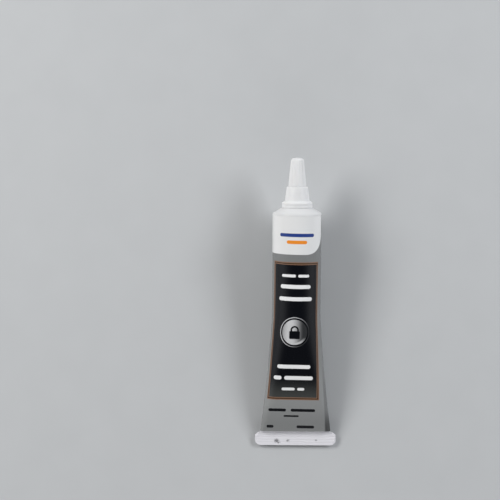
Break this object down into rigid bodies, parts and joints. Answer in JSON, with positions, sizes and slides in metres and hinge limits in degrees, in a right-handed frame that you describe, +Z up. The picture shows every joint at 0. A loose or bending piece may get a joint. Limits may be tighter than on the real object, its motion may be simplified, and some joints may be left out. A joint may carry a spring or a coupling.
{
  "type": "graphite lock lubricant tube",
  "caption": "Small plastic squeeze tube of powdered graphite: round sleeve flattened to a heat seal, shoulder and neck, ringed screw-on nozzle and fluted push-on cap.",
  "frame": {"origin": "centre of the base of the bounding box, on the surface that the flattened back lies on", "axes": "+Y from the sealed end towards the nozzle, which points 9.4 degrees upwards; +Z up, out of the printed front; +X to the right seen from above with the nozzle away"},
  "size_m": [0.0352, 0.1242, 0.0281],
  "materials": {
    "sleeve_print": "satin",
    "head_plastic": "satin",
    "nozzle_plastic": "satin",
    "cap_plastic": "satin",
    "graphite": "matte"
  },
  "bodies": {
    "tube": {"sleeve": "sleeve_print", "tube_head": "head_plastic", "graphite_powder": "graphite"},
    "nozzle": {"nozzle": "nozzle_plastic"},
    "cap": {"cap": "cap_plastic"}
  },
  "joints": [
    {"name": "nozzle_turn", "type": "hinge", "parent": "tube", "child": "nozzle", "pos_m": [0, 0.04074, 0.01815], "axis": [0, 0.9867, 0.1625], "range_deg": [0, 540]},
    {"name": "cap_pull", "type": "slide", "parent": "nozzle", "child": "cap", "axis": [0, 0.9867, 0.1625], "range_m": [0, 0.016]}
  ]
}
